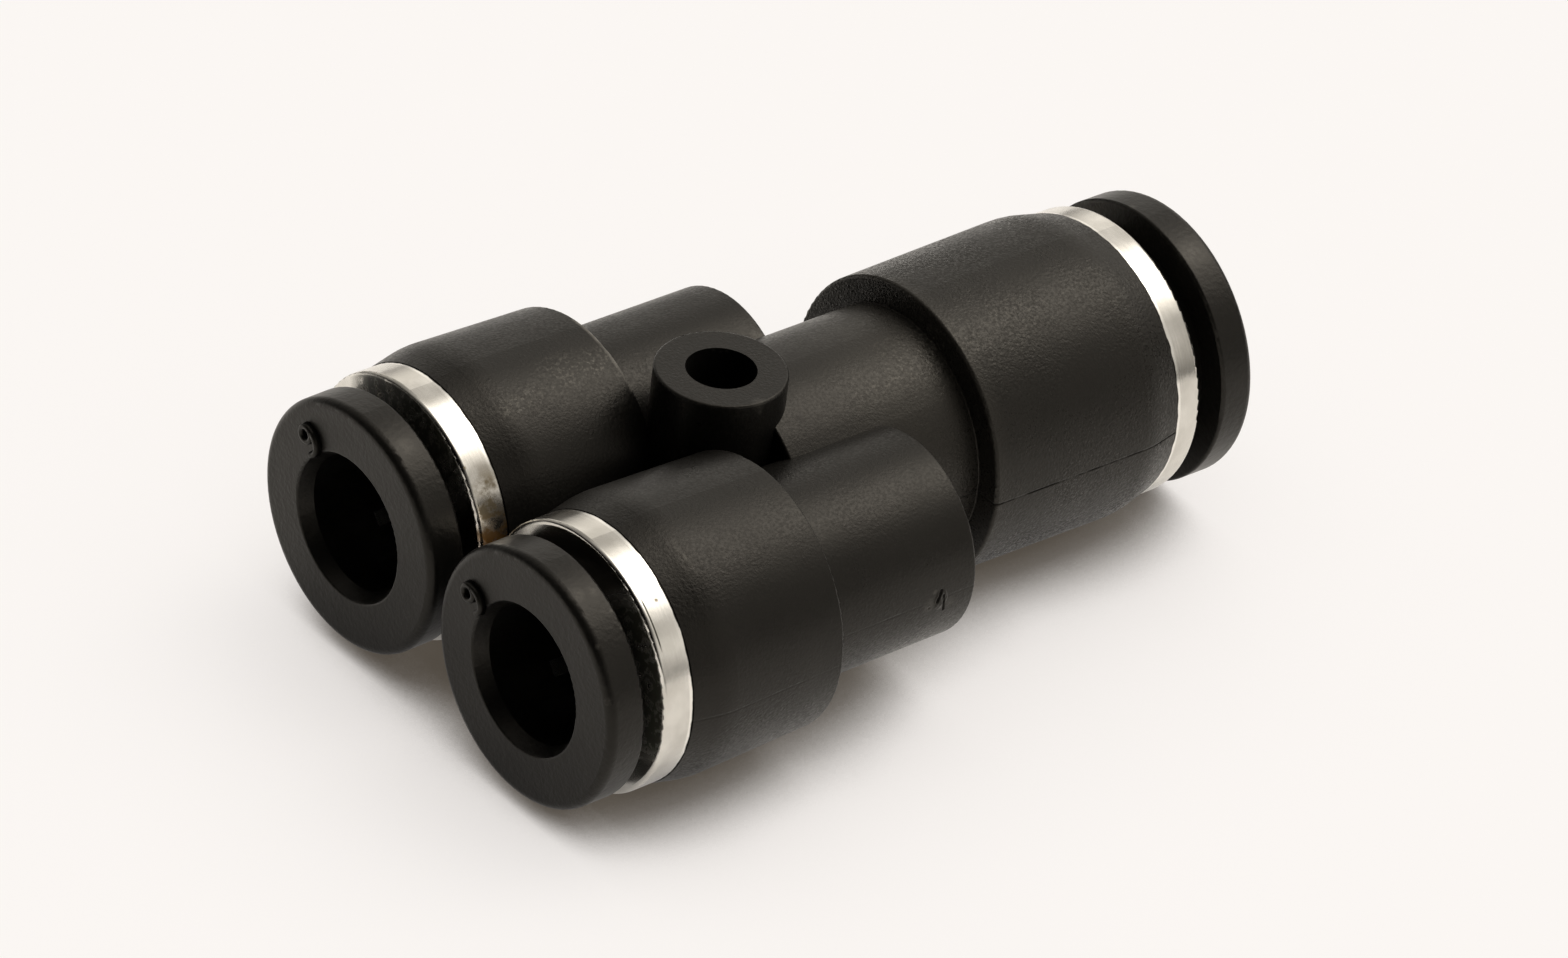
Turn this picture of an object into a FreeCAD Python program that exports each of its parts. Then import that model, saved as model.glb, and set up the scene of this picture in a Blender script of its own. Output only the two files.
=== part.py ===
import FreeCAD
import Part
import math
import os

# Push-in reducing Y connector for tubing, in millimetres.
# +X runs along the common port towards its mouth, the two branch ports face -X side by side at plus and
# minus Y, and +Z runs up the fixing hole. The origin is on that hole's axis at the moulding's mid-plane.
# Sizes named "_d" are diameters. Places named "_x" are in the frame above.

# Common port: one tube
common_tube_d = 8.0
common_barrel_wall = 0.9
common_collar_land = 0.52
common_collar_len = 1.4
common_flange_reach = 1.42
common_flange_len = 1.8
common_gap = 1.55
common_seat_len = 2.2
common_pocket_len = 2.4
common_mouth_x = 21.2
common_shoulder_x = 10.55
common_stop_x = 7.5
common_teeth = 10

# Branch ports: two equal tubes
branch_tube_d = 6.0
branch_barrel_wall = 1.16
branch_collar_land = 0.8
branch_collar_len = 1.5
branch_flange_reach = 1.55
branch_flange_len = 1.8
branch_gap = 0.95
branch_seat_len = 1.9
branch_pocket_len = 2.1
branch_mouth_x = -10.4
branch_step_x = -2.54
branch_stop_x = 2.0
branch_pipe_end_x = 5.98
branch_barrel_merge = 0.2
branch_teeth = 8

# Moulded body
pipe_wall = 1.58
end_wall = 1.1
neck_front_x = 0.9
barrel_draft = 0.16
mouth_taper_len = 1.6
mouth_taper_round = 4.0
mouth_proud = 0.03
edge_round = 0.12
shoulder_round = 0.16
shoulder_inner_round = 0.05
web_gap = 0.5
web_setback = 1.0
boss_d = 5.8
boss_height = 13.45
fixing_hole_d = 3.1
hole_wall = 1.05
common_passage_d = 7.2
branch_passage_d = 5.2
passage_window = 0.36
tube_lead_in = 0.5

# Fits and walls shared by all three ports
tube_clearance = 0.1
release_wall = 1.1
release_clearance = 0.1
barb_height = 0.24
barb_len = 0.4
barb_clearance = 0.12
nose_len = 1.3
nose_wall = 0.3
release_stop_gap = 0.25
slit_w = 0.7
slit_count = 4
slit_reach = 0.35
flange_round = 0.4
flange_back_round = 0.15
bore_chamfer = 0.32
bore_chamfer_len = 0.67
lip_len = 0.9
lip_play = 0.2
collar_round = 0.2
sleeve_wall = 0.5
sleeve_end_gap = 0.1
press_play = 0.02
claw_rim_step = 0.15
claw_clearance = 0.03
claw_thickness = 0.25
claw_rim_w = 0.7
claw_lean_deg = 45.0
claw_bite = 0.05
claw_slot_w = 0.35
claw_nose_gap = 0.3
seat_tooth_gap = 0.2
seat_tube_gap = 0.25
pocket_step = 0.35
seal_squeeze = 0.05
seal_end_gap = 0.1
seal_lip_w = 0.35
seal_heel_gap = 0.4

OUTSIDE = 1.0  # how far a cutting shape runs past the surface that it opens


def vec(x, y, z):
    return FreeCAD.Vector(x, y, z)


def outline(corners):
    """Closed face in the XZ plane through (x, radius) or (x, radius, round) corners, taken in order."""
    count = len(corners)
    points = [vec(c[0], 0, c[1]) for c in corners]
    rounds = [c[2] if len(c) > 2 else 0.0 for c in corners]
    edges = []
    starts = []
    ends = []
    middles = []
    for i in range(count):
        here = points[i]
        to_last = (points[i - 1] - here).normalize()
        to_next = (points[(i + 1) % count] - here).normalize()
        if rounds[i] == 0.0:
            starts.append(here)
            ends.append(here)
            middles.append(None)
            continue
        half = to_last.getAngle(to_next) / 2
        tangent = rounds[i] / math.tan(half)
        inward = (to_last + to_next).normalize()
        starts.append(here + to_last * tangent)
        ends.append(here + to_next * tangent)
        middles.append(here + inward * (rounds[i] / math.sin(half) - rounds[i]))
    for i in range(count):
        if middles[i] is not None:
            edges.append(Part.Arc(starts[i], middles[i], ends[i]).toShape())
        edges.append(Part.LineSegment(ends[i], starts[(i + 1) % count]).toShape())
    return Part.Face(Part.Wire(edges))


def turned(corners):
    """Solid turned about the X axis from a profile of (x, radius, round) corners."""
    return outline(corners).revolve(vec(0, 0, 0), vec(1, 0, 0), 360)


def rod(x1, x2, radius, y=0.0):
    """Round bar along X."""
    return Part.makeCylinder(radius, x2 - x1, vec(x1, y, 0), vec(1, 0, 0))


def slots(x1, x2, reach, width, count):
    """Radial slot cutters round the X axis, each from the axis out to reach."""
    first = Part.makeBox(x2 - x1, width, reach, vec(x1, -width / 2, 0))
    cutters = []
    for i in range(count):
        cutter = first.copy()
        cutter.rotate(vec(0, 0, 0), vec(1, 0, 0), (i + 0.5) * 360.0 / count)
        cutters.append(cutter)
    return cutters


class Port:
    """Radii and depths of one port, worked out from its tube.

    Depths run along the port's own axis: 0 where the resin stops and the collar begins, positive outwards.
    """

    def __init__(
        self, tube_d, barrel_wall, collar_land, collar_len, flange_reach, flange_len, gap, seat_len,
        pocket_len, teeth,
    ):
        self.teeth = teeth
        self.tube_r = tube_d / 2
        self.bore_r = self.tube_r + tube_clearance
        self.neck_r = self.bore_r + release_wall
        self.flange_r = self.neck_r + flange_reach
        self.lip_r = self.neck_r + release_clearance
        self.barb_r = self.lip_r + barb_height
        self.cage_r = self.barb_r + barb_clearance
        self.claw_bore_r = self.cage_r + claw_rim_step
        self.claw_r = self.claw_bore_r - claw_clearance
        self.knee_r = self.claw_r - claw_rim_w
        self.sleeve_r = self.cage_r + sleeve_wall
        self.socket_r = self.sleeve_r + press_play
        self.barrel_r = self.socket_r + barrel_wall
        self.collar_r = self.socket_r + collar_land
        self.mouth_r = self.collar_r + mouth_proud
        self.seal_r = self.claw_r - pocket_step
        self.pocket_r = self.seal_r + press_play
        self.collar_len = collar_len
        self.flange_back = collar_len + gap
        self.flange_front = self.flange_back + flange_len
        self.travel = gap - release_stop_gap
        self.lip_back = collar_len - lip_len
        self.barb_face = self.lip_back - lip_play
        self.nose = self.barb_face - barb_len - nose_len
        self.nose_r = self.bore_r + nose_wall
        pressed_nose = self.nose - self.travel
        teeth_rise = (self.knee_r - self.nose_r) / math.tan(math.radians(claw_lean_deg))
        self.claw_face = pressed_nose + teeth_rise - claw_nose_gap
        self.seat_face = self.claw_face - claw_thickness
        self.socket_floor = self.seat_face - seat_len
        self.pocket_floor = self.socket_floor - pocket_len


COMMON = Port(
    common_tube_d, common_barrel_wall, common_collar_land, common_collar_len, common_flange_reach,
    common_flange_len, common_gap, common_seat_len, common_pocket_len, common_teeth,
)
BRANCH = Port(
    branch_tube_d, branch_barrel_wall, branch_collar_land, branch_collar_len, branch_flange_reach,
    branch_flange_len, branch_gap, branch_seat_len, branch_pocket_len, branch_teeth,
)
branch_y = BRANCH.barrel_r - branch_barrel_merge / 2


def at_common(shape):
    """Moves a piece from its port's own axis to the common port."""
    placed = shape.copy()
    placed.translate(vec(common_mouth_x, 0, 0))
    return placed


def at_branch(shape, side):
    """Moves a piece to a branch port: side is +1 for the left one, at +Y, and -1 for the right one."""
    placed = shape.copy()
    placed.rotate(vec(0, 0, 0), vec(0, 0, 1), 180)
    placed.translate(vec(branch_mouth_x, side * branch_y, 0))
    return placed


def release_ring(port):
    """Push ring: round-edged flange, chamfered bore, and a neck split into barbed fingers."""
    front = port.flange_front
    ring = turned([
        (port.nose, port.bore_r),
        (port.nose, port.nose_r),
        (port.barb_face - barb_len, port.barb_r),
        (port.barb_face, port.barb_r),
        (port.barb_face, port.neck_r),
        (port.flange_back, port.neck_r),
        (port.flange_back, port.flange_r, flange_back_round),
        (front, port.flange_r, flange_round),
        (front, port.bore_r + bore_chamfer, edge_round),
        (front - bore_chamfer_len, port.bore_r),
    ])
    reach = port.barb_r + OUTSIDE
    return ring.cut(slots(port.nose - OUTSIDE, port.barb_face + slit_reach, reach, slit_w, slit_count))


def guide_ring(port):
    """Plated sleeve pressed into the mouth: outer collar, inner lip for the barbs, step for the claw."""
    sleeve_end = port.socket_floor + sleeve_end_gap
    return turned([
        (port.collar_len, port.lip_r),
        (port.collar_len, port.collar_r, collar_round),
        (0, port.collar_r),
        (0, port.sleeve_r),
        (sleeve_end, port.sleeve_r),
        (sleeve_end, port.claw_bore_r),
        (port.claw_face, port.claw_bore_r),
        (port.claw_face, port.cage_r),
        (port.lip_back, port.cage_r),
        (port.lip_back, port.lip_r),
    ])


def lock_claw(port):
    """Toothed washer: a flat rim and a ring of teeth that lean inwards and away from the mouth."""
    lean = math.radians(claw_lean_deg)
    along = (-math.cos(lean), -math.sin(lean))
    back = (-math.sin(lean) * claw_thickness, math.cos(lean) * claw_thickness)
    tip_r = port.tube_r - claw_bite
    tooth_len = (port.knee_r - tip_r) / math.sin(lean)
    tip = (port.claw_face + along[0] * tooth_len, tip_r)
    knee_drop = claw_thickness * (1 - math.sin(lean)) * math.tan(lean)
    claw = turned([
        (port.claw_face, port.claw_r),
        (port.claw_face, port.knee_r),
        tip,
        (tip[0] + back[0], tip[1] + back[1]),
        (port.seat_face, port.knee_r + back[1] - knee_drop),
        (port.seat_face, port.claw_r),
    ])
    deep = tip[0] + back[0] - OUTSIDE
    return claw.cut(slots(deep, port.claw_face + OUTSIDE, port.knee_r, claw_slot_w, port.teeth))


def claw_seat(port):
    """Ring that clamps the claw's rim, with a cone that lets the teeth lean back."""
    lean = math.radians(claw_lean_deg)
    throat_r = port.tube_r + seat_tube_gap
    cone_r = port.knee_r + claw_thickness + seat_tooth_gap
    cone_floor = port.seat_face - (cone_r - throat_r) / math.tan(lean)
    return turned([
        (port.seat_face, cone_r),
        (port.seat_face, port.claw_r),
        (port.socket_floor, port.claw_r),
        (port.socket_floor, throat_r),
        (cone_floor, throat_r),
    ])


def tube_seal(port):
    """Rubber lip ring: solid heel towards the mouth, two lips open to the pressure side."""
    heel = port.socket_floor - seal_end_gap
    toe = port.pocket_floor + seal_end_gap
    length = heel - toe
    lip_r = port.tube_r - seal_squeeze
    heel_r = port.tube_r + seal_heel_gap
    groove_r = (lip_r + port.seal_r) / 2
    return turned([
        (heel, heel_r),
        (heel, port.seal_r),
        (toe, port.seal_r),
        (toe, port.seal_r - seal_lip_w),
        (heel - length / 2, groove_r),
        (toe, lip_r + seal_lip_w),
        (toe + seal_lip_w, lip_r),
        (toe + 2 * seal_lip_w, lip_r),
        (heel - length / 3, heel_r),
    ])


def socket(port, stop_depth):
    """Hollow of one port: sleeve bore, seal pocket, lead-in cone and tube bore down to the tube's stop."""
    return turned([
        (OUTSIDE, 0),
        (OUTSIDE, port.socket_r),
        (port.socket_floor, port.socket_r),
        (port.socket_floor, port.pocket_r),
        (port.pocket_floor, port.pocket_r),
        (port.pocket_floor, port.bore_r + tube_lead_in),
        (port.pocket_floor - tube_lead_in, port.bore_r),
        (stop_depth, port.bore_r),
        (stop_depth, 0),
    ])


def common_outside(neck_r):
    """Neck, shoulder and big barrel as one turned form."""
    port = COMMON
    mouth = common_mouth_x
    return turned([
        (neck_front_x, 0),
        (neck_front_x, neck_r, edge_round),
        (common_shoulder_x, neck_r, shoulder_inner_round),
        (common_shoulder_x, port.barrel_r - barrel_draft, shoulder_round),
        (mouth - mouth_taper_len, port.barrel_r, mouth_taper_round),
        (mouth, port.mouth_r),
        (mouth, 0),
    ])


def branch_outside(pipe_r):
    """Small barrel with the pipe behind it, on its port's own axis."""
    port = BRANCH
    step = branch_mouth_x - branch_step_x
    pipe_end = branch_mouth_x - branch_pipe_end_x
    return turned([
        (0, 0),
        (0, port.mouth_r),
        (-mouth_taper_len, port.barrel_r, mouth_taper_round),
        (step, port.barrel_r - barrel_draft, edge_round),
        (step, pipe_r, edge_round),
        (pipe_end, pipe_r, edge_round),
        (pipe_end, 0),
    ])


def boss():
    """Upright boss for the fixing screw, standing proud of the body above and below."""
    radius = boss_d / 2
    post = Part.makeCylinder(radius, boss_height, vec(0, 0, -boss_height / 2))
    rims = [edge for edge in post.Edges if isinstance(edge.Curve, Part.Circle)]
    return post.makeFillet(edge_round, rims)


def web():
    """Bridge that fills the crease between the two small barrels where it is too narrow for mould steel."""
    radius = BRANCH.barrel_r
    half_height = math.sqrt(web_gap * radius)
    start = branch_mouth_x + web_setback
    corner = vec(start, -radius / 2, -half_height)
    return Part.makeBox(branch_step_x - start, radius, 2 * half_height, corner)


def y_body():
    """The one-piece moulding with its three sockets, inner passages and fixing hole."""
    neck_r = COMMON.bore_r + pipe_wall
    pipe_r = BRANCH.bore_r + pipe_wall
    body = common_outside(neck_r).fuse([
        at_branch(branch_outside(pipe_r), 1),
        at_branch(branch_outside(pipe_r), -1),
        boss(),
        web(),
    ])
    branch_socket = socket(BRANCH, branch_mouth_x - branch_stop_x)
    hole_r = fixing_hole_d / 2
    passage_r = branch_passage_d / 2
    passage_y = common_passage_d / 2 + passage_r - passage_window
    passage_end = branch_pipe_end_x - end_wall
    hollows = [
        at_common(socket(COMMON, common_stop_x - common_mouth_x)),
        at_branch(branch_socket, 1),
        at_branch(branch_socket, -1),
        rod(hole_r + hole_wall, common_stop_x + OUTSIDE, common_passage_d / 2),
        rod(branch_stop_x - OUTSIDE, passage_end, passage_r, passage_y),
        rod(branch_stop_x - OUTSIDE, passage_end, passage_r, -passage_y),
        Part.makeCylinder(hole_r, boss_height + 2 * OUTSIDE, vec(0, 0, -boss_height / 2 - OUTSIDE)),
    ]
    return body.cut(hollows).removeSplitter()


def pieces():
    """Every piece of the connector by name, in place."""
    parts = {"y_body": y_body()}
    makers = {
        "release_ring": release_ring,
        "guide_ring": guide_ring,
        "lock_claw": lock_claw,
        "claw_seat": claw_seat,
        "tube_seal": tube_seal,
    }
    for name, make in makers.items():
        parts["common_" + name] = at_common(make(COMMON))
        branch_piece = make(BRANCH)
        parts["left_" + name] = at_branch(branch_piece, 1)
        parts["right_" + name] = at_branch(branch_piece, -1)
    return parts


os.makedirs("parts", exist_ok=True)
for node, shape in pieces().items():
    solid = shape.Solids[0]
    box = solid.BoundBox
    print(
        node, "solids", len(shape.Solids), "valid", shape.isValid(), "volume", round(shape.Volume, 2),
        "x", round(box.XMin, 2), round(box.XMax, 2), "y", round(box.YMin, 2), round(box.YMax, 2),
        "z", round(box.ZMin, 2), round(box.ZMax, 2),
    )
    solid.exportStep("parts/" + node + ".step")
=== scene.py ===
import math

import bmesh
import bpy
from mathutils import Matrix, Vector

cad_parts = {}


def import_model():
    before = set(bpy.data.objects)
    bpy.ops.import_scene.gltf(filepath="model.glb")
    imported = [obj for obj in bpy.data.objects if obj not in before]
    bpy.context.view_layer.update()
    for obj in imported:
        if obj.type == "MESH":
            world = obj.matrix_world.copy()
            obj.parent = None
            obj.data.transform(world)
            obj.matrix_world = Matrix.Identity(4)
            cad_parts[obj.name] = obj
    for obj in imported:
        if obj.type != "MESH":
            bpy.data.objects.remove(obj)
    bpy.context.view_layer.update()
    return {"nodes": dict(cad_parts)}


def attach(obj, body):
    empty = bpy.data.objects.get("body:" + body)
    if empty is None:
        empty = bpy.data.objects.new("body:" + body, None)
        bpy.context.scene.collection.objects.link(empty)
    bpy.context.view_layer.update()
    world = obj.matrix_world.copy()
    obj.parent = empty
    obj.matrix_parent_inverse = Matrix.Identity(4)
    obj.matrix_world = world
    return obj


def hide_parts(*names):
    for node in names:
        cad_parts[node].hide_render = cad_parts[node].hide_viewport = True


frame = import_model()
nodes = frame["nodes"]
scene = bpy.context.scene
MM = 0.001

# Camera in metres: its place and turn found from the photograph's edges, the nearest and farthest that it
# sees, and its lens and sensor in millimetres
CAMERA_AT = Vector((-0.15953, -0.17513, 0.16453))
CAMERA_TURN = (math.radians(55.2477), math.radians(-5.9268), math.radians(-39.0112))
CAMERA_LENS = 154.37
SENSOR_WIDTH = 36.0
CAMERA_NEAREST = 0.01
CAMERA_FARTHEST = 10.0

# Sky lobes: azimuth from +Y towards +X, elevation, strength
SKY_COLOUR = (1.0, 0.95, 0.87, 1.0)
SKY_SHARPNESS = 20.0
SKY = [
    (0.0, 68.0, 0.48),
    (90.0, 68.0, 4.38),
    (100.0, 46.0, 3.45),
    (330.0, 46.0, 0.30),
    (0.0, 22.0, 0.40),
    (30.0, 22.0, 1.12),
    (60.0, 22.0, 0.97),
    (90.0, 22.0, 0.25),
    (150.0, 22.0, 0.90),
    (180.0, 22.0, 0.55),
]
BACKGROUND = (0.965, 0.93, 0.905, 1.0)

# Floor: half its size in metres, its colour in the light, the plain colour that the camera sees, the share
# of that plain colour, and the strength of the background in glossy reflections
FLOOR_HALF = 2.0
FLOOR_COLOUR = (0.90, 0.89, 0.88, 1.0)
FLOOR_PALE = (1.0, 0.965, 0.94, 1.0)
FLOOR_SHOWN = 0.86
FLOOR_GLOW = 0.30

# Soft shades on the plain floor, a weak wide one and a dark close one: the shade's colour, how far it
# reaches in millimetres, and the range of openness over which it fades
WIDE_SHADE = ((0.80, 0.765, 0.74, 1.0), 18.0, (0.30, 1.00))
CLOSE_SHADE = ((0.088, 0.074, 0.058, 1.0), 8.0, (0.20, 0.65))
SHADE_SAMPLES = 16

# Where the part touches the floor: under the large barrel, and under the boss's far edge
REST_FRONT = Vector((18.2, 0.0, -7.08)) * MM
REST_BACK = Vector((-2.75, 0.0, -6.725)) * MM

# Colours and other plain values of the materials
RESIN = (0.0052, 0.0049, 0.0044, 1.0)
RESIN_LIGHT = (0.0075, 0.0070, 0.0063, 1.0)
RESIN_SEAM = (0.0012, 0.0011, 0.0010, 1.0)
RESIN_PALE = (0.050, 0.047, 0.042, 1.0)
# Colour of the painted sparkle along the highlights
SPARKLE_COLOUR = (0.110, 0.103, 0.090, 1.0)
# Colour of the painted highlight on the edge of the left barrel's rear step
EDGE_HIGHLIGHT_COLOUR = (0.140, 0.132, 0.118, 1.0)
RESIN_NECK = (0.021, 0.0195, 0.0170, 1.0)
RING_PLASTIC = (0.0050, 0.0047, 0.0043, 1.0)
RING_LIGHT = (0.0070, 0.0066, 0.0060, 1.0)
PLASTIC_IOR = 1.33
PLASTIC_SHEEN = (1.0, 0.94, 0.85, 1.0)
NICKEL = (0.56, 0.54, 0.50, 1.0)
NICKEL_BRIGHT = (0.80, 0.78, 0.74, 1.0)
TARNISH = (0.30, 0.165, 0.055, 1.0)
TARNISH_GREY = (0.21, 0.175, 0.12, 1.0)
# Stain on the plating, also the painted shade on the right collar's face and the dark line near its edge
STAIN_AND_SHADE = (0.060, 0.060, 0.048, 1.0)
STAIN_AND_SHADE_METALLIC = 0.2
DULL_ROUGH = 0.45
JOINT_LINE = (0.010, 0.009, 0.008, 1.0)
STEEL = (0.32, 0.31, 0.30, 1.0)
STEEL_ROUGH = 0.4
SEAT_PLASTIC = (0.6, 0.58, 0.54, 1.0)
SEAT_ROUGH = 0.5
SEAL_RUBBER = (0.02, 0.02, 0.02, 1.0)
SEAL_ROUGH = 0.6
INNER_DARKER = 0.8

# Noise patterns: the noise's scale, detail and sometimes roughness, the span of it that counts, and what
# that span becomes
RESIN_MOTTLE = ((260.0, 4.0), (0.35, 0.70))
RESIN_ROUGH = ((420.0, 3.0), (0.30, 0.70), (0.35, 0.41))
RESIN_SPARKLE = ((7500.0, 1.0), (0.35, 0.65), (-0.16, 0.16))
GRAIN_PATCHES = ((330.0, 3.0), (0.35, 0.65), (0.50, 1.00))
PARTING_BREAKS = ((700.0, 3.0), (0.38, 0.56), (0.25, 1.00))
GLINT_AND_RUB_BREAKS = ((3500.0, 2.0), (0.35, 0.65), (0.30, 1.00))
SPARKLE_PATCHES = ((420.0, 3.0), (0.40, 0.62), (0.20, 1.00))
SPARKLE_GRAINS = ((6800.0, 1.0), (0.50, 0.72))
EDGE_HIGHLIGHT_BREAKS = ((1500.0, 2.0), (0.30, 0.60), (0.45, 1.00))
RING_MOTTLE = ((350.0, 3.0), (0.35, 0.70))
RING_ROUGH = ((500.0, 3.0), (0.30, 0.70), (0.33, 0.39))
RING_MARK_BREAKS = ((4200.0, 2.0), (0.40, 0.60), (0.25, 1.00))
NICKEL_MOTTLE = ((330.0, 4.0), (0.40, 0.70))
NICKEL_ROUGH = ((600.0, 3.0), (0.30, 0.70), (0.16, 0.26))
TARNISH_BREAKS = ((1400.0, 4.0, 0.65), (0.30, 0.58))
STAIN_AND_SHADE_BREAKS = ((1900.0, 4.0, 0.65), (0.30, 0.50))
JOINT_WANDER = ((1500.0, 2.0), (0.30, 0.70), (-0.03 * MM, 0.03 * MM))
INNER_MOTTLE = (800.0, 3.0)

# Bumps: the noise's scale, detail and sometimes roughness, the strength, and the height in millimetres
RESIN_WAVES = ((900.0, 2.0), 0.04, 0.06)
RESIN_GRAIN = ((7000.0, 2.0, 0.6), 1.0, 0.035)
RING_WAVES = ((700.0, 2.0), 0.3, 0.05)
RING_GRAIN = ((4200.0, 2.0), 0.6, 0.03)
NICKEL_WAVES = ((900.0, 3.0), 0.2, 0.03)
LATHE_LINES = ((9000.0, 2.0), 0.15, 0.02)
INNER_GRAIN = ((5000.0, 3.0), 0.2, 0.02)

# Strength and height of the knocks' bump, and the scale that draws the lathe lines out round the X axis
KNOCK_DEPTH = (0.6, 0.04)
LATHE_STRETCH = (1.0, 0.03, 0.03)

# Resin along X in millimetres: where it turns from the small barrels' finish to the large one's, and how
# much of the parting line and of the grain the small side shows
LARGE_SIDE = (6.0, 11.0)
SMALL_PARTING = 0.35
SMALL_GRAIN = 0.6

# Parting line in millimetres: its height, full width and faded width
PARTING_LINE = (0.0, 0.02, 0.07)

# Lighter resin in millimetres: inside this radius it comes in along the neck, it covers the shoulder's
# face, and on the large barrel only this share of it is left
NECK_RADIUS = (5.8, 6.2)
NECK_FROM = (2.5, 7.5)
SHOULDER_FROM = (9.5, 10.4)
BARREL_FROM = (10.5, 11.5)
BARREL_SHARE = 0.2

# Marks on the resin in millimetres: place, full width, faded width
# Pale spots: painted glints on the boss, in its hole and on the left barrel, and pale marks elsewhere
GLINTS_AND_PALE_SPOTS = [
    ((10.6, 1.34, 6.51), 0.05, 0.14),
    ((0.70, 1.38, 6.62), 0.03, 0.11),
    ((0.96, 1.21, 6.54), 0.02, 0.10),
    ((1.15, 1.04, 6.60), 0.03, 0.11),
    ((-0.16, -2.90, 6.26), 0.05, 0.15),
    ((-0.20, -2.82, 6.70), 0.10, 0.42),
    ((5.62, 4.05, 4.10), 0.10, 0.45),
    ((-8.98, 0.99, 3.15), 0.03, 0.11),
    ((3.68, -10.90, 0.45), 0.05, 0.16),
    ((3.45, -10.90, -0.15), 0.10, 0.42),
    ((4.62, -10.90, -0.40), 0.08, 0.36),
]
DARK_SPOTS = [
    ((0.95, 2.68, 6.72), 0.05, 0.13),
    ((0.10, 2.84, 6.72), 0.05, 0.12),
    ((2.77, 0.64, 6.72), 0.04, 0.12),
    ((20.14, -7.08, -0.04), 0.08, 0.20),
    ((-2.54, -12.32, 1.13), 0.06, 0.15),
    ((3.45, -10.90, -0.30), 0.03, 0.10),
]

# Streaks on the resin in millimetres: two ends, full width, faded width. They are rubs on the right barrel,
# the grooves of the gate scar, a painted highlight along the edge of the left barrel's rear step, and runs
# of painted sparkle along the highlights on the large barrel, the neck and the left barrel
PALE_STREAKS = [
    ((-9.00, -8.14, 6.05), (-8.90, -9.00, 5.71), 0.05, 0.16),
    ((-8.90, -9.00, 5.71), (-8.80, -9.65, 5.35), 0.02, 0.13),
]
DARK_STREAKS = [
    ((4.05, -10.90, 0.40), (3.85, -10.92, -0.10), 0.06, 0.11),
    ((4.18, -10.92, 0.12), (4.33, -10.87, -0.69), 0.05, 0.10),
]
# Painted highlight along the edge of the left barrel's rear step
PAINTED_EDGE_HIGHLIGHT = [
    ((-2.62, 6.78, 6.16), (-2.62, 5.17, 6.09), 0.06, 0.16),
    ((-2.62, 5.17, 6.09), (-2.62, 3.63, 5.60), 0.04, 0.15),
    ((-2.62, 3.63, 5.60), (-2.62, 2.60, 4.96), 0.00, 0.12),
]
# Runs of painted sparkle along the highlights on the large barrel, the neck and the left barrel
PAINTED_SPARKLE_RUNS = [
    ((11.1, -2.95, 6.33), (14.4, -2.85, 6.42), 0.3, 1.3),
    ((14.4, -2.85, 6.42), (18.2, -2.71, 6.53), 0.1, 0.8),
    ((6.0, -2.28, 5.20), (10.2, -1.85, 5.39), 0.4, 1.7),
    ((-5.4, 4.00, 5.80), (-2.6, 3.80, 5.70), 0.4, 1.4),
    ((-8.6, 3.40, 5.60), (-5.4, 4.00, 5.80), 0.1, 0.9),
]

# Nicked places and painted highlights on the release rings, in millimetres: place, full width, faded width
# The wide spots here are painted highlights, and the one low on the left ring is a painted glint
RING_NICKS_AND_HIGHLIGHTS = [
    ((-14.30, -10.30, 4.07), 0.05, 0.15),
    ((-14.55, -11.50, 2.10), 0.10, 0.24),
    ((-12.86, -10.02, 4.33), 0.05, 0.13),
    ((-12.96, -9.38, 4.82), 0.05, 0.14),
    ((-13.81, 0.65, 0.59), 0.05, 0.11),
    ((-13.69, 3.90, 5.11), 0.10, 0.60),
    ((-13.99, -8.28, 5.24), 0.08, 0.45),
    ((-13.23, -8.37, 5.20), 0.05, 0.35),
    ((24.30, 1.03, 6.62), 0.08, 0.28),
    ((24.62, -2.74, 6.11), 0.15, 0.90),
]

# Marks on the plating in millimetres. Its joints with the resin: their places along X, and the full and
# faded width of the dark line and of the bright band beside it
JOINT_PLACES = (-10.4, 21.2)
JOINT_WIDTH = (0.05, 0.09)
JOINT_BRIGHT = (0.16, 0.24)

# Tarnish, mostly between the small ports, and the height over which it turns from brown to grey
TARNISH_SPOTS = [
    ((-10.90, 0.75, 2.35), 1.00, 1.60),
    ((-10.90, 1.60, 3.60), 0.20, 1.20),
    ((-11.74, 2.22, 4.41), 0.04, 0.12),
    ((-11.06, -8.73, 5.43), 0.04, 0.10),
    ((-10.96, -9.76, 4.82), 0.05, 0.12),
    ((-11.90, -10.08, 3.56), 0.05, 0.14),
]
TARNISH_TURN = (1.6, 2.8)

# Stain on the left small collar's front face, painted shade on the right one's, and where behind the front
# plane they fade out along X
FACE_STAINS_AND_SHADE = [
    ((-11.95, 5.6, 5.2), 3.2, 4.6),
    ((-11.95, -10.4, 1.6), 3.0, 4.0),
]
FACE_STAIN_AND_SHADE_END = (-11.89, -11.86)

# Dark line near the right collar's front edge: its place along X with its widths, and the spot it keeps to
EDGE_LINE = (-11.60, 0.02, 0.05)
EDGE_LINE_SPAN = ((-11.60, -10.40, 4.30), 0.9, 1.3)

# Distance of each small port's axis from the middle, in millimetres
BRANCH_Y = 6.24

# How each release ring hangs in its port, read from the photograph: the pivot on the port's axis, the turns
# about Y and Z in degrees and the shift in millimetres
LEAN = {
    "left": ((-11.4, BRANCH_Y, 0.0), (-0.1, 1.9), (0.0, -0.05, 0.0)),
    "right": ((-11.4, -BRANCH_Y, 0.0), (0.5, 0.93), (0.0, 0.0, -0.07)),
    "common": ((22.2, 0.0, 0.0), (-0.92, -1.5), (0.0, -0.045, -0.055)),
}

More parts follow.
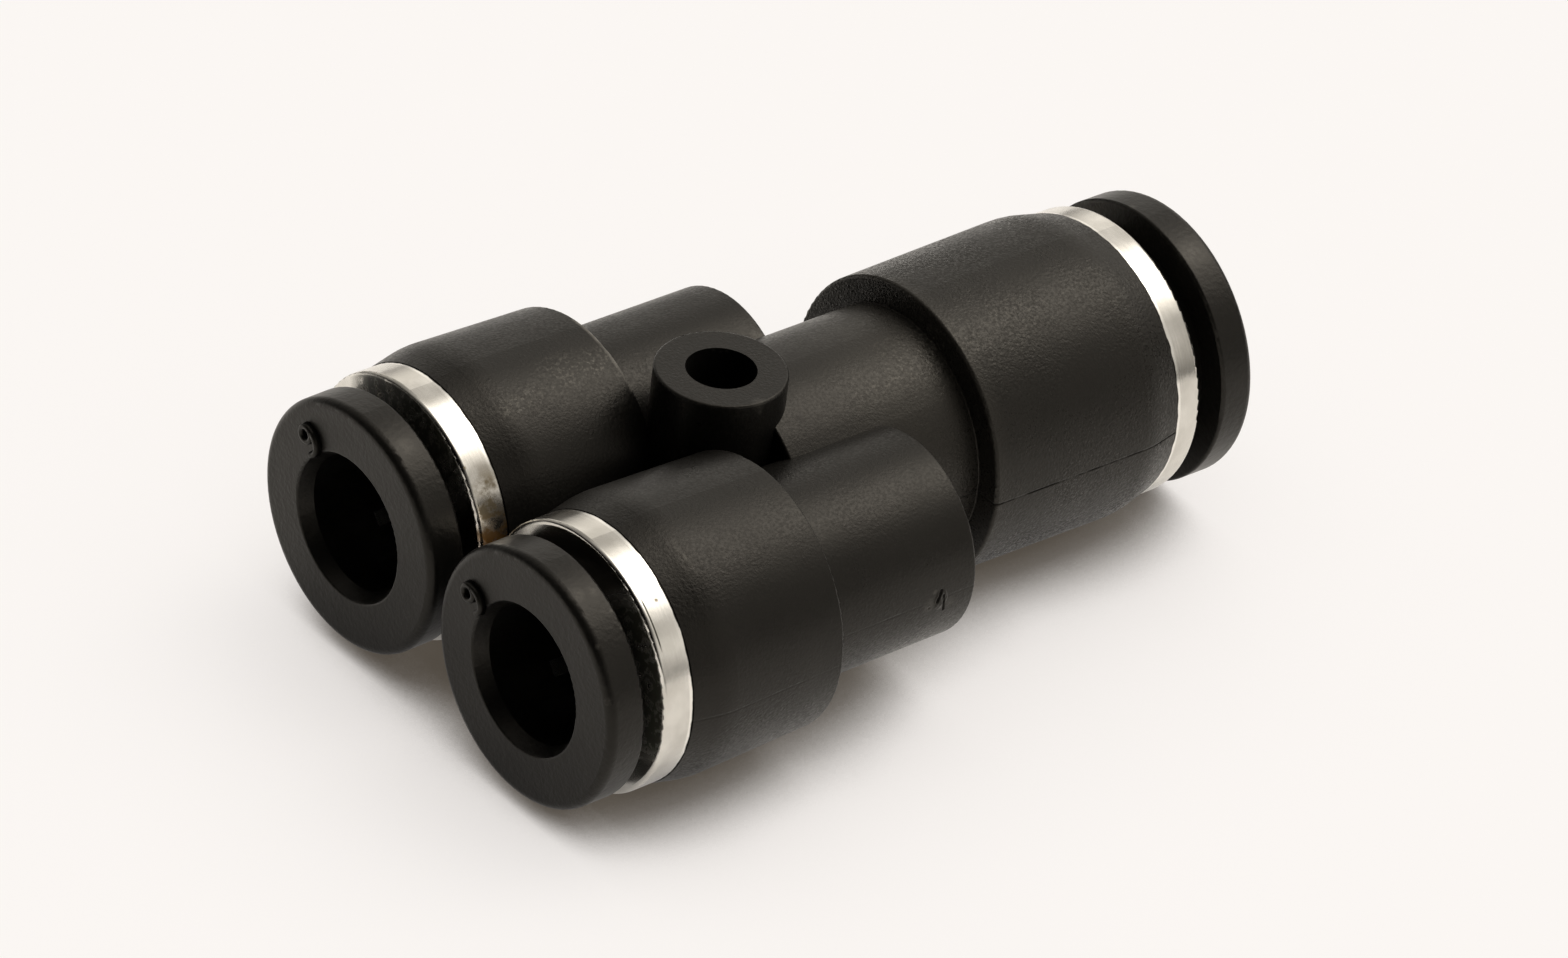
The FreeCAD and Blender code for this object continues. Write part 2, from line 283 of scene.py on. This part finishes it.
# Raised size figure on each small ring, in millimetres. Where it stands: the ring's front plane, how far
# out from the port's axis and how far sideways, and the angle of that place in degrees
FIGURE_PLANE_X = -14.65
FIGURE_RADIUS = 4.0
FIGURE_SIDE = 0.30
FIGURE_ANGLE = {"left": 44.0, "right": 26.0}

# Its form: the stroke's height and width, how far its sides flare and sink, the round of the top edges
# across and down, the loop's middle and radii, and the tail from the loop's top to its end
FIGURE_HEIGHT = 0.30
FIGURE_STROKE = 0.25
FIGURE_FLARE = 0.03
FIGURE_ROUND = (0.06, 0.08)
FIGURE_LOOP = ((0.32, 0.02), (0.34, 0.35))
FIGURE_LOOP_STEPS = 36
FIGURE_TAIL = [
    (0.38, 0.37), (0.20, 0.44), (-0.05, 0.45), (-0.32, 0.36), (-0.53, 0.17), (-0.61, -0.08), (-0.54, -0.32),
]
FIGURE_TAIL_STEPS = 6

# Gate scar on the right pipe, in millimetres: its place and half size along X and Z, the pipe's radius
# there, the mound's height, how far its rim sinks into the pipe, and the steps each way
SCAR_AT = (4.05, -0.08)
SCAR_HALF = (0.55, 0.75)
SCAR_RADIUS = 4.68
SCAR_HEIGHT = 0.07
SCAR_SINK = 0.06
SCAR_STEPS = 28

# Its torn top: the roughness and the grooves as shares of the height, the two frequencies that scatter the
# roughness, a groove's half width as a multiple of its streak's faded width, and the root's depth in sinks
SCAR_TORN = 0.35
SCAR_SCATTER = (31000.0, 23000.0)
SCAR_GROOVE = 0.9
SCAR_GROOVE_WIDTH = 1.6
SCAR_ROOT = 3.0


class Nodes:
    """Short helper for building the node tree of a material or a world."""

    # Places of the colour sockets on a Mix node, and the vector operations that give a number
    MIX_COLOURS = (6, 7)
    MIX_RESULT = 2
    GIVES_NUMBER = ("DISTANCE", "DOT_PRODUCT", "LENGTH")

    def __init__(self, owner, output="ShaderNodeOutputMaterial"):
        self.owner = owner
        owner.use_nodes = True
        self.tree = owner.node_tree
        self.tree.nodes.clear()
        self.out = self.add(output)

    def add(self, kind, **values):
        """A node with its settings and fixed inputs. An underscore is a space in an input's name."""
        node = self.tree.nodes.new(kind)
        for key, value in values.items():
            if hasattr(node, key):
                setattr(node, key, value)
            else:
                node.inputs[key.replace("_", " ")].default_value = value
        return node

    def link(self, a, b):
        self.tree.links.new(a, b)

    def feed(self, sockets, values):
        """Gives each socket its value, which is fixed or another node's output."""
        for socket, value in zip(sockets, values):
            if isinstance(value, bpy.types.NodeSocket):
                self.link(value, socket)
            else:
                socket.default_value = value

    def coordinates(self):
        return self.add("ShaderNodeTexCoord").outputs["Object"]

    def axis(self, vector, name):
        node = self.add("ShaderNodeSeparateXYZ")
        self.link(vector, node.inputs[0])
        return node.outputs[name]

    def maths(self, operation, *values):
        node = self.add("ShaderNodeMath", operation=operation)
        self.feed(node.inputs, values)
        return node.outputs[0]

    def vector(self, operation, *values):
        node = self.add("ShaderNodeVectorMath", operation=operation)
        self.feed(node.inputs, values)
        return node.outputs["Value" if operation in self.GIVES_NUMBER else "Vector"]

    def fold(self, operation, values):
        """One operation taken over all the values."""
        total = values[0]
        for value in values[1:]:
            total = self.maths(operation, total, value)
        return total

    def most(self, *masks):
        """The strongest of several masks."""
        return self.fold("MAXIMUM", masks)

    def product(self, *masks):
        return self.fold("MULTIPLY", masks)

    def mix(self, factor, a, b):
        """One colour turning into another."""
        node = self.add("ShaderNodeMix", data_type="RGBA")
        self.link(factor, node.inputs["Factor"])
        self.feed([node.inputs[i] for i in self.MIX_COLOURS], (a, b))
        return node.outputs[self.MIX_RESULT]

    def blend(self, factor, a, b):
        """One shader turning into another."""
        node = self.add("ShaderNodeMixShader")
        self.feed(node.inputs, (factor, a, b))
        return node.outputs[0]

    def ramp(self, value, low, high, start=0.0, end=1.0, kind="LINEAR"):
        """A value's span from low to high stretched to run from start to end."""
        node = self.add("ShaderNodeMapRange", interpolation_type=kind)
        self.feed([node.inputs[i] for i in ("Value", "From Min", "From Max", "To Min", "To Max")],
                  (value, low, high, start, end))
        return node.outputs["Result"]

    def ramp_mm(self, value, low, high, start=0.0, end=1.0):
        """The same for a distance or coordinate, with low and high in millimetres."""
        return self.ramp(value, low * MM, high * MM, start, end)

    def fade(self, distance, inner, outer):
        """1 within inner millimetres, falling to 0 at outer."""
        return self.ramp_mm(distance, inner, outer, 1.0, 0.0)

    def near(self, vector, centre, inner, outer):
        """Faded mask round a place."""
        return self.fade(self.vector("DISTANCE", vector, Vector(centre) * MM), inner, outer)

    def streak(self, vector, start, end, inner, outer):
        """Faded mask round a straight line between two places."""
        start = Vector(start) * MM
        along = Vector(end) * MM - start
        away = self.vector("SUBTRACT", vector, start)
        share = self.add("ShaderNodeClamp")
        self.link(self.vector("DOT_PRODUCT", away, along / along.length_squared), share.inputs["Value"])
        foot = self.vector("MULTIPLY", share.outputs[0], along)
        return self.fade(self.vector("DISTANCE", away, foot), inner, outer)

    def band(self, value, place, inner, outer):
        """Faded mask round one place on a coordinate."""
        return self.fade(self.maths("ABSOLUTE", self.maths("SUBTRACT", value, place * MM)), inner, outer)

    def marks(self, vector, spots=(), streaks=()):
        """Faded mask of a set of spots and streaks."""
        round_marks = [self.near(vector, *spot) for spot in spots]
        long_marks = [self.streak(vector, *line) for line in streaks]
        return self.most(*round_marks, *long_marks)

    def openness(self, reach, span):
        """0 where much lies within reach millimetres above the surface, rising to 1 in the open."""
        node = self.add("ShaderNodeAmbientOcclusion", samples=SHADE_SAMPLES, Distance=reach * MM)
        return self.ramp(node.outputs["AO"], *span, kind="SMOOTHSTEP")

    def noise(self, vector, scale, detail, rough=0.55):
        node = self.add("ShaderNodeTexNoise", Scale=scale, Detail=detail, Roughness=rough)
        self.link(vector, node.inputs["Vector"])
        return node.outputs["Fac"]

    def pattern(self, vector, noise, span, becomes=(0.0, 1.0)):
        """A noise with one span of its values stretched."""
        return self.ramp(self.noise(vector, *noise), *span, *becomes)

    def bump(self, value, strength, height, under=None):
        """Bump, on top of another one where that is given."""
        node = self.add("ShaderNodeBump", Strength=strength, Distance=height * MM)
        self.link(value, node.inputs["Height"])
        if under is not None:
            self.link(under, node.inputs["Normal"])
        return node.outputs["Normal"]

    def grain(self, vector, noise, strength, height, under=None, mask=None):
        """Bump of a noise, weakened by a mask where that is given."""
        value = self.noise(vector, *noise)
        if mask is not None:
            value = self.product(value, mask)
        return self.bump(value, strength, height, under)

    def shader(self, **values):
        node = self.add("ShaderNodeBsdfPrincipled", **values)
        self.link(node.outputs[0], self.out.inputs["Surface"])
        return node


def neck_tone(n, at, along):
    """Mask of the lighter resin on the neck, on the shoulder's face and faintly on the large barrel."""
    radius = n.vector("LENGTH", n.vector("MULTIPLY", at, (0.0, 1.0, 1.0)))
    neck = n.product(n.fade(radius, *NECK_RADIUS), n.ramp_mm(along, *NECK_FROM))
    tone = n.most(neck, n.ramp_mm(along, *SHOULDER_FROM))
    return n.product(tone, n.ramp_mm(along, *BARREL_FROM, 1.0, BARREL_SHARE))


def parting_line(n, at, along):
    """Mask of the mould's parting line, broken, and fainter on the small barrels."""
    line = n.band(n.axis(at, "Z"), *PARTING_LINE)
    return n.product(line, n.pattern(at, *PARTING_BREAKS), n.ramp_mm(along, *LARGE_SIDE, SMALL_PARTING, 1.0))


def resin_colour(n, at, along, dark):
    """Mottled resin: lighter round the neck, dark in the knocks, pale at rubs, with painted glints, sparkle
    and edge highlight.
    """
    colour = n.mix(n.pattern(at, *RESIN_MOTTLE), RESIN, RESIN_LIGHT)
    colour = n.mix(neck_tone(n, at, along), colour, RESIN_NECK)
    colour = n.mix(dark, colour, RESIN_SEAM)
    # Pale at rubs, and painted glints on the boss, in its hole and on the left barrel
    glints_and_rubs = n.product(n.marks(at, GLINTS_AND_PALE_SPOTS, PALE_STREAKS), n.pattern(at, *GLINT_AND_RUB_BREAKS))
    colour = n.mix(glints_and_rubs, colour, RESIN_PALE)
    # Painted sparkle: pale specks along the highlights of the large barrel, the neck and the left barrel
    painted_sparkle = n.product(n.marks(at, (), PAINTED_SPARKLE_RUNS), n.pattern(at, *SPARKLE_PATCHES))
    colour = n.mix(n.product(painted_sparkle, n.pattern(at, *SPARKLE_GRAINS)), colour, SPARKLE_COLOUR)
    # Painted highlight along the edge of the left barrel's rear step
    edge = n.product(n.marks(at, (), PAINTED_EDGE_HIGHLIGHT), n.pattern(at, *EDGE_HIGHLIGHT_BREAKS))
    return n.mix(edge, colour, EDGE_HIGHLIGHT_COLOUR)


def resin():
    """Glass-filled resin: eroded-mould grain, faint mottling, parting line, knocks, rubs, and painted
    glints, sparkle and edge highlight.
    """
    n = Nodes(bpy.data.materials.new("resin"))
    at = n.coordinates()
    along = n.axis(at, "X")
    shader = n.shader(IOR=PLASTIC_IOR, Specular_Tint=PLASTIC_SHEEN)
    dark = n.most(parting_line(n, at, along), n.marks(at, DARK_SPOTS, DARK_STREAKS))
    n.link(resin_colour(n, at, along, dark), shader.inputs["Base Color"])
    coarse = n.product(n.pattern(at, *GRAIN_PATCHES), n.ramp_mm(along, *LARGE_SIDE, SMALL_GRAIN, 1.0))
    sparkle = n.product(n.pattern(at, *RESIN_SPARKLE), coarse)
    rough = n.maths("ADD", sparkle, n.pattern(at, *RESIN_ROUGH))
    n.link(n.most(rough, dark), shader.inputs["Roughness"])
    normal = n.grain(at, *RESIN_WAVES)
    normal = n.grain(at, *RESIN_GRAIN, normal, coarse)
    normal = n.bump(n.maths("SUBTRACT", 1.0, dark), *KNOCK_DEPTH, normal)
    n.link(normal, shader.inputs["Normal"])
    return n.owner


def ring_plastic():
    """Acetal of the release rings: smoother than the body, with a faint grain, nicked places and painted
    highlights.
    """
    n = Nodes(bpy.data.materials.new("ring_plastic"))
    at = n.coordinates()
    shader = n.shader(IOR=PLASTIC_IOR, Specular_Tint=PLASTIC_SHEEN)
    colour = n.mix(n.pattern(at, *RING_MOTTLE), RING_PLASTIC, RING_LIGHT)
    # Pale nicked places, and painted highlights and a painted glint
    nicks_and_highlights = n.product(n.marks(at, RING_NICKS_AND_HIGHLIGHTS), n.pattern(at, *RING_MARK_BREAKS))
    n.link(n.mix(nicks_and_highlights, colour, RESIN_PALE), shader.inputs["Base Color"])
    n.link(n.pattern(at, *RING_ROUGH), shader.inputs["Roughness"])
    n.link(n.grain(at, *RING_WAVES, n.grain(at, *RING_GRAIN)), shader.inputs["Normal"])
    return n.owner


def nickel_colour(n, at, along, brown, stain_and_shade):
    """Mottled plating: bright beside its dark joint with the resin, tarnished, with stains, painted shade
    and a dark line.
    """
    colour = n.mix(n.pattern(at, *NICKEL_MOTTLE), NICKEL, NICKEL_BRIGHT)
    bright = n.most(*[n.band(along, place, *JOINT_BRIGHT) for place in JOINT_PLACES])
    colour = n.mix(bright, colour, NICKEL_BRIGHT)
    tone = n.mix(n.ramp_mm(n.axis(at, "Z"), *TARNISH_TURN), TARNISH, TARNISH_GREY)
    colour = n.mix(brown, colour, tone)
    line = n.product(n.band(along, *EDGE_LINE), n.near(at, *EDGE_LINE_SPAN))
    # Stain and painted shade on the collars' faces, and the dark line near the right collar's edge
    colour = n.mix(n.most(stain_and_shade, line), colour, STAIN_AND_SHADE)
    wandering = n.maths("ADD", along, n.pattern(at, *JOINT_WANDER))
    joint = n.most(*[n.band(wandering, place, *JOINT_WIDTH) for place in JOINT_PLACES])
    return n.mix(joint, colour, JOINT_LINE)


def nickel():
    """Plated turned brass: fine lathe lines round X, brown tarnish, and stains and painted shade that dull
    the metal.
    """
    n = Nodes(bpy.data.materials.new("nickel"))
    at = n.coordinates()
    along = n.axis(at, "X")
    shader = n.shader()
    brown = n.product(n.marks(at, TARNISH_SPOTS), n.pattern(at, *TARNISH_BREAKS))
    on_face = n.ramp_mm(along, *FACE_STAIN_AND_SHADE_END, 1.0, 0.0)
    # Stain on the left collar's face and painted shade over the right one's, both dulling the metal
    stain_and_shade = n.product(n.marks(at, FACE_STAINS_AND_SHADE), n.pattern(at, *STAIN_AND_SHADE_BREAKS), on_face)
    n.link(nickel_colour(n, at, along, brown, stain_and_shade), shader.inputs["Base Color"])
    n.link(n.ramp(stain_and_shade, 0.0, 1.0, 1.0, STAIN_AND_SHADE_METALLIC), shader.inputs["Metallic"])
    dull = n.product(n.most(stain_and_shade, brown), DULL_ROUGH)
    n.link(n.most(n.pattern(at, *NICKEL_ROUGH), dull), shader.inputs["Roughness"])
    stretch = n.add("ShaderNodeMapping", Scale=LATHE_STRETCH)
    n.link(at, stretch.inputs["Vector"])
    lines = n.grain(stretch.outputs["Vector"], *LATHE_LINES)
    n.link(n.grain(at, *NICKEL_WAVES, lines), shader.inputs["Normal"])
    return n.owner


def plain(name, colour, roughness, metallic=0.0):
    """Inner pieces: moulded or stamped, with a light grain."""
    n = Nodes(bpy.data.materials.new(name))
    at = n.coordinates()
    shader = n.shader(Roughness=roughness, Metallic=metallic)
    darker = tuple(c * INNER_DARKER for c in colour[:3]) + (1.0,)
    n.link(n.mix(n.noise(at, *INNER_MOTTLE), colour, darker), shader.inputs["Base Color"])
    n.link(n.grain(at, *INNER_GRAIN), shader.inputs["Normal"])
    return n.owner


def dress(obj, mat):
    obj.data.materials.clear()
    obj.data.materials.append(mat)


def add_object(name, mesh, mat):
    obj = bpy.data.objects.new(name, mesh)
    scene.collection.objects.link(obj)
    dress(obj, mat)
    return obj


def smooth_mesh(name, bm):
    """Mesh of a finished bmesh, its faces turned outwards and shaded smooth."""
    bmesh.ops.recalc_face_normals(bm, faces=bm.faces)
    mesh = bpy.data.meshes.new(name)
    bm.to_mesh(mesh)
    bm.free()
    for face in mesh.polygons:
        face.use_smooth = True
    return mesh


def lean_matrix(side):
    """How one release ring hangs, as a move of its mesh about its port's axis."""
    pivot, turns, shift = LEAN[side]
    pivot = Vector(pivot) * MM
    turn = Matrix.Rotation(math.radians(turns[1]), 4, "Z") @ Matrix.Rotation(math.radians(turns[0]), 4, "Y")
    return Matrix.Translation(pivot + Vector(shift) * MM) @ turn @ Matrix.Translation(-pivot)


def leaning_ring(side, mat):
    """The release ring as it hangs in the photograph, in place of the straight one."""
    node = side + "_release_ring"
    mesh = nodes[node].data.copy()
    mesh.transform(lean_matrix(side))
    obj = add_object(side + "_ring_hanging", mesh, mat)
    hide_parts(node)
    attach(obj, side + "_release")


def smooth_path(points, steps):
    """Catmull-Rom points through a short list of 2D places."""
    last = len(points) - 1
    path = []
    for i in range(last):
        held = [points[min(max(k, 0), last)] for k in range(i - 1, i + 3)]
        for s in range(steps):
            t = s / steps
            path.append(tuple(
                0.5 * (2 * b + (c - a) * t
                       + (2 * a - 5 * b + 4 * c - d) * t * t
                       + (3 * b - a - 3 * c + d) * t ** 3)
                for a, b, c, d in zip(*held)
            ))
    path.append(points[-1])
    return path


def raised_stroke(bm, path, closed, place):
    """Ribbon of the figure: flared sides and rounded top edges along a 2D path."""
    half = FIGURE_STROKE / 2
    inset, drop = FIGURE_ROUND
    section = [
        (-half - FIGURE_FLARE, -FIGURE_FLARE), (-half, FIGURE_HEIGHT - drop), (-half + inset, FIGURE_HEIGHT),
        (half - inset, FIGURE_HEIGHT), (half, FIGURE_HEIGHT - drop), (half + FIGURE_FLARE, -FIGURE_FLARE),
    ]
    rows = []
    count = len(path)
    for i, (x, y) in enumerate(path):
        before = path[(i - 1) % count] if closed else path[max(i - 1, 0)]
        after = path[(i + 1) % count] if closed else path[min(i + 1, count - 1)]
        along = Vector((after[0] - before[0], after[1] - before[1])).normalized()
        across = Vector((-along.y, along.x))
        rows.append([
            bm.verts.new(place @ (Vector((x + across.x * w, y + across.y * w, h)) * MM)) for w, h in section
        ])
    size = len(section)
    for i in range(count if closed else count - 1):
        a = rows[i]
        b = rows[(i + 1) % count]
        for k in range(size):
            bm.faces.new((a[k], a[(k + 1) % size], b[(k + 1) % size], b[k]))
    if not closed:
        bm.faces.new(list(reversed(rows[0])))
        bm.faces.new(rows[-1])


def size_figure(side, mat):
    """The raised figure on a small ring's face, its foot towards the bore."""
    centre_y = LEAN[side][0][1]
    angle = math.radians(FIGURE_ANGLE[side])
    out = Vector((0.0, math.cos(angle), math.sin(angle)))
    round_way = Vector((0.0, -math.sin(angle), math.cos(angle)))
    origin = Vector((FIGURE_PLANE_X, centre_y, 0.0)) + out * FIGURE_RADIUS + round_way * FIGURE_SIDE
    place = Matrix((
        (out.x, round_way.x, -1.0, origin.x * MM),
        (out.y, round_way.y, 0.0, origin.y * MM),
        (out.z, round_way.z, 0.0, origin.z * MM),
        (0.0, 0.0, 0.0, 1.0),
    ))
    place = lean_matrix(side) @ place
    middle, radii = FIGURE_LOOP
    loop = []
    for i in range(FIGURE_LOOP_STEPS):
        a = 2 * math.pi * i / FIGURE_LOOP_STEPS
        loop.append((middle[0] + radii[0] * math.cos(a), middle[1] + radii[1] * math.sin(a)))
    bm = bmesh.new()
    raised_stroke(bm, loop, True, place)
    raised_stroke(bm, smooth_path(FIGURE_TAIL, FIGURE_TAIL_STEPS), False, place)
    name = side + "_size_figure"
    obj = add_object(name, smooth_mesh(name, bm), mat)
    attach(obj, side + "_release")


def scar_rise(place, reach):
    """Height of the torn stub above the pipe, where reach is 0 in its middle and 1 at its rim."""
    rise = SCAR_HEIGHT * (math.cos(math.pi * reach) + 1.0) / 2.0 - SCAR_SINK * reach ** 4
    scatter = math.sin(place.x * SCAR_SCATTER[0]) * math.sin(place.z * SCAR_SCATTER[1])
    inwards = 1.0 - reach
    rise += SCAR_HEIGHT * SCAR_TORN * scatter * inwards
    for start, end, _, faded in DARK_STREAKS:
        a = Vector((start[0], 0.0, start[2]))
        b = Vector((end[0], 0.0, end[2]))
        share = max(0.0, min(1.0, (place - a).dot(b - a) / (b - a).length_squared))
        gap = (place - a - (b - a) * share).length
        depth = max(0.0, 1.0 - gap / (SCAR_GROOVE_WIDTH * faded))
        rise -= SCAR_HEIGHT * SCAR_GROOVE * depth * inwards
    return rise


def gate_scar(mat):
    """Torn stub of the moulding gate on the right pipe's side: a low mound with two grooves."""
    bm = bmesh.new()
    rows = []
    for i in range(SCAR_STEPS + 1):
        row = []
        for k in range(SCAR_STEPS + 1):
            u = 2.0 * i / SCAR_STEPS - 1.0
            v = 2.0 * k / SCAR_STEPS - 1.0
            place = Vector((SCAR_AT[0] + u * SCAR_HALF[0], 0.0, SCAR_AT[1] + v * SCAR_HALF[1]))
            turn = place.z / SCAR_RADIUS
            radius = SCAR_RADIUS + scar_rise(place, min(1.0, math.hypot(u, v)))
            side = -BRANCH_Y - radius * math.cos(turn)
            row.append(bm.verts.new(Vector((place.x, side, radius * math.sin(turn))) * MM))
        rows.append(row)
    for i in range(SCAR_STEPS):
        for k in range(SCAR_STEPS):
            bm.faces.new((rows[i][k], rows[i + 1][k], rows[i + 1][k + 1], rows[i][k + 1]))
    rim = [rows[0][k] for k in range(SCAR_STEPS)]
    rim += [rows[i][-1] for i in range(SCAR_STEPS)]
    rim += [rows[-1][k] for k in range(SCAR_STEPS, 0, -1)]
    rim += [rows[i][0] for i in range(SCAR_STEPS, 0, -1)]
    root_y = -BRANCH_Y - SCAR_RADIUS + SCAR_SINK * SCAR_ROOT
    root = bm.verts.new(Vector((SCAR_AT[0], root_y, SCAR_AT[1])) * MM)
    for i, vert in enumerate(rim):
        bm.faces.new((vert, rim[(i + 1) % len(rim)], root))
    obj = add_object("gate_scar", smooth_mesh("gate_scar", bm), mat)
    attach(obj, "body")


def floor_sheet():
    """Pale floor that takes the light. The camera sees most of it as a plain colour with soft shades."""
    n = Nodes(bpy.data.materials.new("floor"))
    path = n.add("ShaderNodeLightPath")
    lit = n.add("ShaderNodeBsdfDiffuse", Color=FLOOR_COLOUR)
    glow = n.add("ShaderNodeEmission", Color=BACKGROUND)
    n.link(n.product(path.outputs["Is Glossy Ray"], FLOOR_GLOW), glow.inputs["Strength"])
    both = n.add("ShaderNodeAddShader")
    n.feed(both.inputs, (lit.outputs[0], glow.outputs[0]))
    plain_colour = FLOOR_PALE
    for colour, reach, span in (WIDE_SHADE, CLOSE_SHADE):
        plain_colour = n.mix(n.openness(reach, span), colour, plain_colour)
    shown = n.add("ShaderNodeEmission")
    n.link(plain_colour, shown.inputs["Color"])
    seen = n.product(path.outputs["Is Camera Ray"], FLOOR_SHOWN)
    n.link(n.blend(seen, both.outputs[0], shown.outputs[0]), n.out.inputs["Surface"])
    return n.owner


def floor():
    """Sheet that the part rests on, tipped to touch it where the real one would."""
    corners = [(x * FLOOR_HALF, y * FLOOR_HALF, 0.0) for x, y in ((-1, -1), (1, -1), (1, 1), (-1, 1))]
    mesh = bpy.data.meshes.new("floor")
    mesh.from_pydata(corners, [], [(0, 1, 2, 3)])
    obj = add_object("floor", mesh, floor_sheet())
    rise = REST_FRONT - REST_BACK
    obj.location = REST_BACK
    obj.rotation_euler = (0.0, -math.atan2(rise.z, rise.x), 0.0)


def world():
    """Soft studio sky of a few broad lobes of light, and the pale background that the camera sees."""
    scene.world = bpy.data.worlds.new("world")
    n = Nodes(scene.world, "ShaderNodeOutputWorld")
    direction = n.add("ShaderNodeTexCoord").outputs["Generated"]
    lobes = []
    for azimuth, elevation, strength in SKY:
        a = math.radians(azimuth)
        e = math.radians(elevation)
        middle = (math.sin(a) * math.cos(e), math.cos(a) * math.cos(e), math.sin(e))
        away = n.maths("SUBTRACT", n.vector("DOT_PRODUCT", direction, middle), 1.0)
        falloff = n.maths("EXPONENT", n.product(away, SKY_SHARPNESS))
        lobes.append(n.product(falloff, strength))
    lit = n.add("ShaderNodeBackground", Color=SKY_COLOUR)
    n.link(n.fold("ADD", lobes), lit.inputs["Strength"])
    shown = n.add("ShaderNodeBackground", Color=BACKGROUND)
    seen = n.add("ShaderNodeLightPath").outputs["Is Camera Ray"]
    n.link(n.blend(seen, lit.outputs[0], shown.outputs[0]), n.out.inputs["Surface"])


def camera():
    data = bpy.data.cameras.new("camera")
    data.sensor_width = SENSOR_WIDTH
    data.sensor_fit = "HORIZONTAL"
    data.lens = CAMERA_LENS
    data.clip_start = CAMERA_NEAREST
    data.clip_end = CAMERA_FARTHEST
    obj = bpy.data.objects.new("camera", data)
    obj.location = CAMERA_AT
    obj.rotation_euler = CAMERA_TURN
    scene.collection.objects.link(obj)
    scene.camera = obj


camera()
world()
floor()

RING_MAT = ring_plastic()
RESIN_MAT = resin()
FINISH = {
    "y_body": RESIN_MAT,
    "release_ring": RING_MAT,
    "guide_ring": nickel(),
    "lock_claw": plain("stamped_steel", STEEL, STEEL_ROUGH, 1.0),
    "claw_seat": plain("seat_plastic", SEAT_PLASTIC, SEAT_ROUGH),
    "tube_seal": plain("seal_rubber", SEAL_RUBBER, SEAL_ROUGH),
}
for name, obj in nodes.items():
    for ending, mat in FINISH.items():
        if name.endswith(ending):
            dress(obj, mat)
for side in LEAN:
    leaning_ring(side, RING_MAT)
for side in FIGURE_ANGLE:
    size_figure(side, RING_MAT)
gate_scar(RESIN_MAT)

scene.view_settings.view_transform = "Standard"
